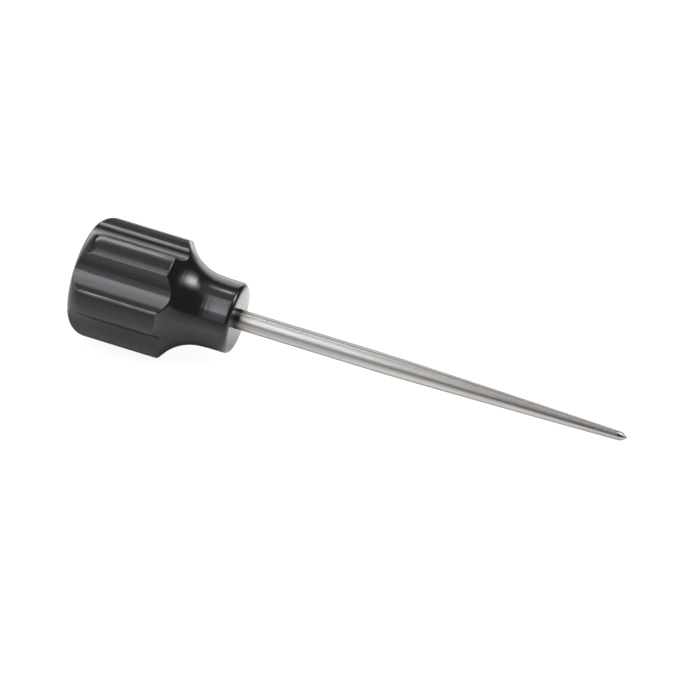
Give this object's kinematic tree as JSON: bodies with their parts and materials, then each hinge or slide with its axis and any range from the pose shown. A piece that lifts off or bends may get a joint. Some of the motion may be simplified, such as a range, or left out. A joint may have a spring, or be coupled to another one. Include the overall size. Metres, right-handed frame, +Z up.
{
  "type": "carpet awl",
  "caption": "Hand awl with a stubby fluted plastic palm handle and a long tapered round steel blade ending in a short point, for freeing carpet tufts and marking.",
  "frame": {"origin": "on the ground below the middle of the awl's length, as it lies at rest on two lands of the handle and on the point", "axes": "+X from the butt of the handle towards the point, +Y across the awl, +Z up from the ground; the blade's own axis lies in the XZ plane and dips 6.5 degrees below +X towards the point"},
  "size_m": [0.1369, 0.029, 0.0294],
  "materials": {
    "handle_plastic": "polished black plastic with fine turning marks on the nose face",
    "blade_steel": "fine ground bright steel with lines across the blade"
  },
  "bodies": {
    "root": {"handle": "handle_plastic", "blade": "blade_steel"}
  },
  "joints": []
}
